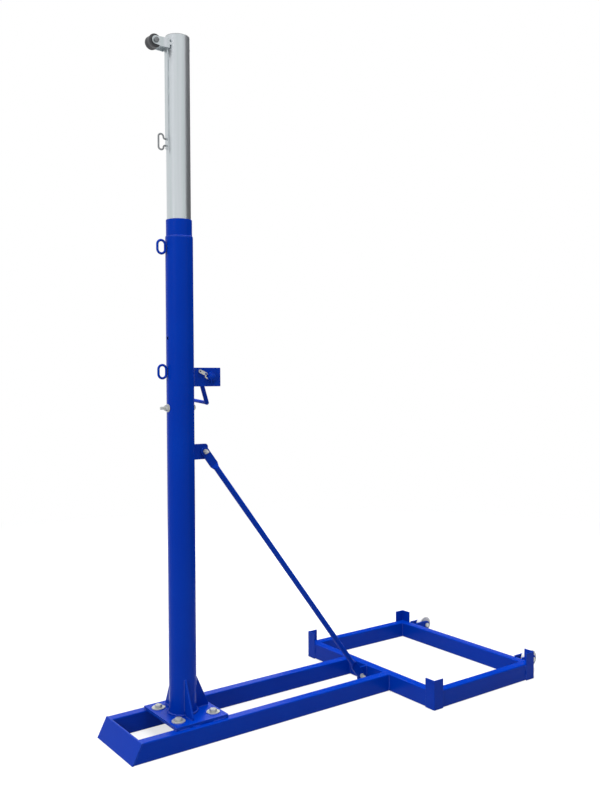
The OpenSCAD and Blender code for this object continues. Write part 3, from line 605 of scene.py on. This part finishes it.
# Seams of the trolley: plate, rails on the frame, toe, mitres, corner angles, lower lug and forks
def trolleySeams(seams):
    plateLow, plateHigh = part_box("base_plate")
    innerLow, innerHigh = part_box("frame_tube_inner")
    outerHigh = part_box("frame_tube_outer")[1]
    tubeWidth = innerHigh.x - innerLow.x
    top = innerHigh.z
    topIn = seams["topIn"]
    sheets = []

    out = seams["plateOut"]
    for y in (plateLow.y - out, plateHigh.y + out):
        for start, end in seams["plateStitches"]:
            line = [(plateLow.x + start, y, plateLow.z + out), (plateLow.x + end, y, plateLow.z + out)]
            sheets.append(bead(line, seams["plateSide"]))
    for name in ("rail_front", "rail_rear"):
        low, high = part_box(name)
        for y in (low.y, high.y):
            sheets.append(uprightBead(high.x - seams["railIn"], y, seams["railFoot"], top - topIn,
                                      seams["railEnd"]))
        z = top - seams["railTopDrop"]
        sheets.append(bead([(high.x, low.y + topIn, z), (high.x, high.y - topIn, z)], seams["railTop"]))
        first = max(low.y, plateLow.y) + seams["plateEnds"]
        last = min(high.y, plateHigh.y) - seams["plateEnds"]
        for x in (plateLow.x, plateHigh.x):
            sheets.append(bead([(x, first, top + out), (x, last, top + out)], seams["plateEnd"]))

    toeLow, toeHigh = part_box("toe_plate")
    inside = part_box("rail_front")[1].y
    wall = seams["toeWall"]
    lean = toeHigh.x - toeLow.x - wall
    for y in (inside, -inside):
        line = [(toeLow.x + wall, y, topIn), (toeLow.x + wall + lean * seams["toeShare"], y, top - topIn)]
        sheets.append(bead(line, seams["toe"]))

    near, z = seams["mitreEnds"], top - seams["mitreDrop"]
    far = tubeWidth - near
    for x, inward in ((innerLow.x, 1), (outerHigh.x, -1)):
        for y, turn in ((innerLow.y, 1), (innerHigh.y, -1)):
            line = [(x + inward * near, y + turn * near, z), (x + inward * far, y + turn * far, z)]
            sheets.append(bead(line, seams["mitre"]))
            sheets.append(uprightBead(x + inward * tubeWidth, y + turn * tubeWidth, seams["insideFoot"],
                                      top - topIn, seams["inside"]))

    for along in ("inner", "outer"):
        for across in ("front", "rear"):
            low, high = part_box("corner_" + along + "_" + across)
            endX = high.x if along == "inner" else low.x
            endY = high.y if across == "front" else low.y
            faceX = innerLow.x if along == "inner" else outerHigh.x
            faceY = innerLow.y if across == "front" else innerHigh.y
            for start, end in seams["angleStitches"]:
                sheets.append(uprightBead(endX, faceY, start, end, seams["angle"]))
                sheets.append(uprightBead(faceX, endY, start, end, seams["angle"]))

    low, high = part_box("brace_lug_low")
    for y in (low.y, high.y):
        sheets.append(uprightBead(high.x - seams["railIn"], y, low.z + seams["lugFoot"],
                                  high.z - seams["lugTop"], seams["lug"]))
    wall = seams["forkWall"]
    for name in ("wheel_fork_front", "wheel_fork_rear"):
        low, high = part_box(name)
        for y in (low.y, low.y + wall, high.y - wall, high.y):
            sheets.append(uprightBead(low.x + seams["forkIn"], y, low.z + seams["forkFoot"],
                                      top - seams["forkTop"], seams["fork"]))
    addPiece("trolleySeams", sheets, "blue_paint", "base", seamPaint)


mastSeamSettings = {
    "stitch": 0.0016,       # bead radius of the stitches
    "stitchLength": 0.022,
    "stitchPitch": 0.062,
    "firstStitch": 0.006,   # above the flat bar's lower end
    "lastStitch": 0.03,     # no stitch starts nearer its upper end
    "ring": 0.0013,         # bead radius of the rings
    "ringRadius": 0.0036,
    "ringPoints": 36,
    "ringIn": 0.0006,
    "footRise": 0.012,      # height of each of the hook's feet above or below its middle
}


# Seams of the mast: short stitches beside its flat bar, rings round the hook's feet
def mastSeams(seams):
    mastLow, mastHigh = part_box("mast_tube")
    radius = (mastHigh.y - mastLow.y) / 2
    low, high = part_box("mast_strip")
    starts = np.arange(low.z + seams["firstStitch"], high.z - seams["lastStitch"], seams["stitchPitch"])
    sheets = []
    for y in (low.y, high.y):
        wall = postX - math.sqrt(radius ** 2 - y ** 2)
        for z in starts:
            sheets.append(uprightBead(wall, y, z, z + seams["stitchLength"], seams["stitch"]))
    low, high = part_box("mast_hook")
    middle = (low.z + high.z) / 2
    for rise in (-seams["footRise"], seams["footRise"]):
        ring = circle((high.x - seams["ringIn"], 0, middle + rise), seams["ringRadius"],
                      (0, 1, 0), (0, 0, 1), seams["ringPoints"])
        sheets.append(bead(ring, seams["ring"], True))
    addPiece("mastSeams", sheets, "mast_aluminium", "mast")


postSeams(postSeamSettings)
trolleySeams(trolleySeamSettings)
mastSeams(mastSeamSettings)
print("weld seams")

# Bolts: the axis runs from the head to the tip
boltSettings = {
    "foot_bolts": {"body": "base", "axis": (0, 0, -1), "diameter": 0.016, "flats": 0.024, "head": 0.010,
                   "pitch": 0.0020, "threaded": 0.030},
    "brace_bolts": {"body": "base", "axis": (0, -1, 0), "diameter": 0.010, "flats": 0.017, "head": 0.007,
                    "pitch": 0.0015, "threaded": 0.026},
    "lock_bolt": {"body": "lock_bolt", "axis": (-1, 0, 0), "diameter": 0.012, "flats": 0.019, "head": 0.008,
                  "pitch": 0.00175, "threaded": 0.036},
    "roller_bolt": {"body": "mast", "axis": (0, 1, 0), "diameter": 0.010, "flats": 0.017, "head": 0.007,
                    "pitch": 0.0015, "threaded": 0.014, "finish": darkerMetal},
    "axle_bolts": {"body": "base", "axis": (0, 1, 0), "diameter": 0.012, "flats": 0.019, "head": 0.008,
                   "pitch": 0.00175, "threaded": 0.015},
}
footSpacing = (0.144, 0.158)        # between the foot bolts, along x and y


# Turned body: origin + axis z + r(t, z) (a cos t + b sin t)
def turned(origin, axis, heights, radii):
    first = np.roll(axis, 1)
    second = np.cross(axis, first)
    turn = np.linspace(0, 2 * np.pi, radii.shape[1], endpoint=False)[None, :, None]
    ring = first * np.cos(turn) + second * np.sin(turn)
    return origin + axis * heights[:, None, None] + radii[:, :, None] * ring, False


headSettings = {
    "sides": 72,
    "layers": (0, 0.05, 0.06, 0.62, 0.74, 0.82, 0.88, 0.93, 0.97, 1.0),     # shares of the head's height
    "crown": 0.94,      # radius of the flat top as a share of half the flats
    "slope": 1.75,      # of the chamfer, outwards for each step down
    "washer": 0.95,     # radius of the round bearing face as a share of half the flats
}


# Hexagon head: r = min(f / (2 cos(t in its sixth)), cone of the chamfer), with a round bearing face under it
def hexHead(origin, axis, flats, height):
    turn = np.linspace(0, 2 * np.pi, headSettings["sides"], endpoint=False)
    sixth = (turn + np.pi / 6) % (np.pi / 3) - np.pi / 6
    heights = np.array(headSettings["layers"]) * height
    cone = flats / 2 * headSettings["crown"] + (height - heights) * headSettings["slope"]
    radii = np.minimum(flats / 2 / np.cos(sixth)[None], cone[:, None])
    radii[:2] = flats / 2 * headSettings["washer"]
    return turned(origin, axis, -heights, radii)


threadSettings = {
    "rowsPerTurn": 8,
    "sides": 32,
    "depth": 0.58,      # as a share of the pitch
    "runIn": 0.0002,    # plain shank ends this far before the first row of the thread
    "tip": 0.0015,      # length of the chamfered tip
}


# Shank and thread: r = d / 2 - depth |2 frac(z / pitch - t) - 1|, with t in turns, along the threaded end
def threadedShank(origin, axis, diameter, length, pitch, threaded):
    rows = int(threaded / pitch * threadSettings["rowsPerTurn"])
    start = length - threaded
    heights = np.concatenate([[0, start - threadSettings["runIn"]], np.linspace(start, length, rows)])
    turn = np.linspace(0, 1, threadSettings["sides"], endpoint=False)
    wave = np.abs(2 * ((heights[:, None] / pitch - turn[None]) % 1) - 1)
    radii = diameter / 2 - threadSettings["depth"] * pitch * wave
    radii[:2] = diameter / 2
    taper = np.clip(heights - (length - threadSettings["tip"]), 0, 1)
    radii = np.minimum(radii, diameter / 2 - taper[:, None])
    return turned(origin, axis, heights, radii)


def addBolts(node, origins, length):
    settings = boltSettings[node]
    axis = np.array(settings["axis"], float)
    sheets = []
    for origin in origins:
        origin = np.array(origin, float)
        sheets.append(hexHead(origin, axis, settings["flats"], settings["head"]))
        sheets.append(threadedShank(origin, axis, settings["diameter"], length, settings["pitch"],
                                    settings["threaded"]))
    piece = addPiece(node + "Threaded", sheets, "zinc_steel", settings["body"], settings.get("finish"))
    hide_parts(node)


# A seat is the place of a head's bearing face along its bolt's axis
def addAllBolts():
    low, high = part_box("foot_bolts")
    middle = (low + high) / 2
    halfX, halfY = (0.5 * gap for gap in footSpacing)
    seat = high.z - boltSettings["foot_bolts"]["head"]
    corners = [(middle.x + a * halfX, middle.y + b * halfY, seat) for a in (-1, 1) for b in (-1, 1)]
    addBolts("foot_bolts", corners, seat - low.z)

    low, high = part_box("brace_bolts")
    halfZ = boltSettings["brace_bolts"]["flats"] / 2
    halfX = halfZ / math.cos(math.pi / 6)
    seat = high.y - boltSettings["brace_bolts"]["head"]
    ends = [(low.x + halfX, seat, high.z - halfZ), (high.x - halfX, seat, low.z + halfZ)]
    addBolts("brace_bolts", ends, seat - low.y)

    low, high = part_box("lock_bolt")
    middle = (low + high) / 2
    seat = high.x - boltSettings["lock_bolt"]["head"]
    addBolts("lock_bolt", [(seat, middle.y, middle.z)], seat - low.x)

    low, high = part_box("roller_bolt")
    middle = (low + high) / 2
    seat = low.y + boltSettings["roller_bolt"]["head"]
    addBolts("roller_bolt", [(middle.x, seat, middle.z)], high.y - seat)

    low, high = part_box("axle_bolts")
    middle = (low + high) / 2
    wheelMiddles = [sum(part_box(name), Vector()).y / 2 for name in ("wheel_front", "wheel_rear")]
    seat = low.y + boltSettings["axle_bolts"]["head"]
    seats = [seat, seat + wheelMiddles[1] - wheelMiddles[0]]
    addBolts("axle_bolts", [(middle.x, y, middle.z) for y in seats], high.y - seats[1])


addAllBolts()
print("threaded bolts")

rollerSettings = {
    "bore": 0.0054,
    "groove": 0.0020,       # depth of the shallow groove that the cord runs in
    "grooveHalf": 0.013,
    "grooveRows": 25,
    "rim": 0.0035,          # radius of the rounded rims
    "rimRows": 9,
    "sides": 96,
}


# Net roller: one lathed outline, r(y) = R - g cos^2(pi y / 2 w) between two rims rounded as quarter circles
def addNetRoller(settings):
    low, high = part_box("roller")
    outer, half = (high.x - low.x) / 2, (high.y - low.y) / 2
    rim, reach = settings["rim"], settings["grooveHalf"]
    quarter = np.linspace(0, np.pi / 2, settings["rimRows"])
    along = np.linspace(-reach, reach, settings["grooveRows"])
    rimHeights, rimRadii = half - rim + rim * np.cos(quarter), outer - rim + rim * np.sin(quarter)
    groove = outer - settings["groove"] * np.cos(np.pi * along / (2 * reach)) ** 2
    heights = np.concatenate([-rimHeights, along, rimHeights[::-1], [half, -half]])
    radii = np.concatenate([rimRadii, groove, rimRadii[::-1], [settings["bore"]] * 2])
    middle, axis = np.array((low + high) / 2), np.array((0.0, 1.0, 0.0))
    grid = turned(middle, axis, heights, np.repeat(radii[:, None], settings["sides"], 1))[0]
    piece = addPiece("rollerLathed", [(grid, True)], "dark_plastic", "roller")
    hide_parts("roller")


addNetRoller(rollerSettings)
for hookName in ("cord_hook_high", "cord_hook_low"):
    addOvalHook(hookName)
print("net roller and cord hooks")

# Stage: pale floor, white background, soft lamps; the lamps themselves stay out of the picture
stageSettings = {
    "floorColor": (0.36, 0.36, 0.36),
    "floorLift": 0.62,      # white added to the floor for the camera and in reflections
    "floorNear": 2.6,       # beyond this distance from its middle the floor fades to plain white
    "floorFar": 5.0,
    "floorHalf": 30.0,
    "floorDrop": 0.0002,    # how far the floor lies under the lowest point
    "matt": 0.9,            # roughness of floor and card
    "worldLight": 0.42,
    "lamps": [
        # name, place, aim, size, watts
        ("topLamp", (0.2, -0.4, 5.2), (0.1, 0, 0.6), 3.2, 290),
        ("leftLamp", (-4.6, -1.2, 2.6), (-0.3, 0, 0.9), 2.4, 115),
        ("backLamp", (2.6, 4.2, 2.6), (0.2, 0, 0.1), 3.0, 200),
    ],
    # Dark card that only reflections show
    "card": {"x": 0.9, "y": (-1.6, 1.6), "z": (0.1, 3.6), "color": (0.01, 0.01, 0.01)},
}


def raysThatShow(tree):     # 1 on camera, mirror and glass rays, so that metal shows the same background
    rays = tree.nodes.new("ShaderNodeLightPath")
    seen = Signal(tree, rays.outputs["Is Camera Ray"]) + Signal(tree, rays.outputs["Is Glossy Ray"])
    return (seen + Signal(tree, rays.outputs["Is Transmission Ray"])).clamped(0.0, 1.0)


def addSheet(name, corners, material):
    mesh = bpy.data.meshes.new(name)
    mesh.from_pydata(corners, [], [(0, 1, 2, 3)])
    mesh.materials.append(material)
    sheet = bpy.data.objects.new(name, mesh)
    scene.collection.objects.link(sheet)
    return sheet


def addFloor(settings):
    material, tree, shader = newFinish("floorPaper", settings["floorColor"], settings["matt"], specular=0.0)
    seen = raysThatShow(tree)
    where = addNode(tree, "ShaderNodeTexCoord", output="Object")
    reach = addNode(tree, "ShaderNodeVectorMath", {"operation": "LENGTH"}, {0: where}, "Value")
    far = addNode(tree, "ShaderNodeMapRange", {"clamp": True, "interpolation_type": "SMOOTHSTEP"}, {
        "Value": reach, "From Min": settings["floorNear"], "From Max": settings["floorFar"]})
    shader.inputs["Emission Color"].default_value = (1, 1, 1, 1)
    link(seen * settings["floorLift"], shader.inputs["Emission Strength"])
    glow = addNode(tree, "ShaderNodeEmission", inputs={"Color": (1, 1, 1, 1), "Strength": 1.0})
    mixed = addNode(tree, "ShaderNodeMixShader", inputs={
        0: far * seen, 1: Signal(tree, shader.outputs[0]), 2: glow})
    link(mixed, tree.nodes["Material Output"].inputs["Surface"])
    half, z = settings["floorHalf"], cadBounds[0].z - settings["floorDrop"]
    corners = [(-half, -half, z), (half, -half, z), (half, half, z), (-half, half, z)]
    floor = addSheet("floor", corners, material)


def addWorld(settings):
    world = scene.world or bpy.data.worlds.new("world")
    scene.world = world
    world.use_nodes = True
    tree = world.node_tree
    tree.nodes.clear()
    out = tree.nodes.new("ShaderNodeOutputWorld")
    strength = raysThatShow(tree) * (1.0 - settings["worldLight"]) + settings["worldLight"]
    glow = addNode(tree, "ShaderNodeBackground", inputs={"Color": (1, 1, 1, 1), "Strength": strength})
    link(glow, out.inputs["Surface"])


def addCard(settings):
    card = settings["card"]
    x, (near, far), (foot, top) = card["x"], card["y"], card["z"]
    material = newFinish("darkCard", card["color"], settings["matt"], specular=0.0)[0]
    corners = [(x, near, foot), (x, near, top), (x, far, top), (x, far, foot)]
    darkCard = addSheet("darkCard", corners, material)
    darkCard.visible_camera = darkCard.visible_diffuse = darkCard.visible_shadow = False


def addLamps(settings):
    for name, where, aim, width, watts in settings["lamps"]:
        lamp = bpy.data.lights.new(name, "AREA")
        lamp.shape = "DISK"
        lamp.size = width
        lamp.energy = watts
        holder = bpy.data.objects.new(name, lamp)
        holder.visible_camera = False
        holder.visible_glossy = False       # no lamp bleaches the metal with its own reflection
        scene.collection.objects.link(holder)
        holder.location = where
        holder.rotation_euler = (Vector(aim) - Vector(where)).to_track_quat("-Z", "Y").to_euler()


addFloor(stageSettings)
addWorld(stageSettings)
addCard(stageSettings)
addLamps(stageSettings)
scene.view_settings.view_transform = "Standard"
print("stage and lamps")
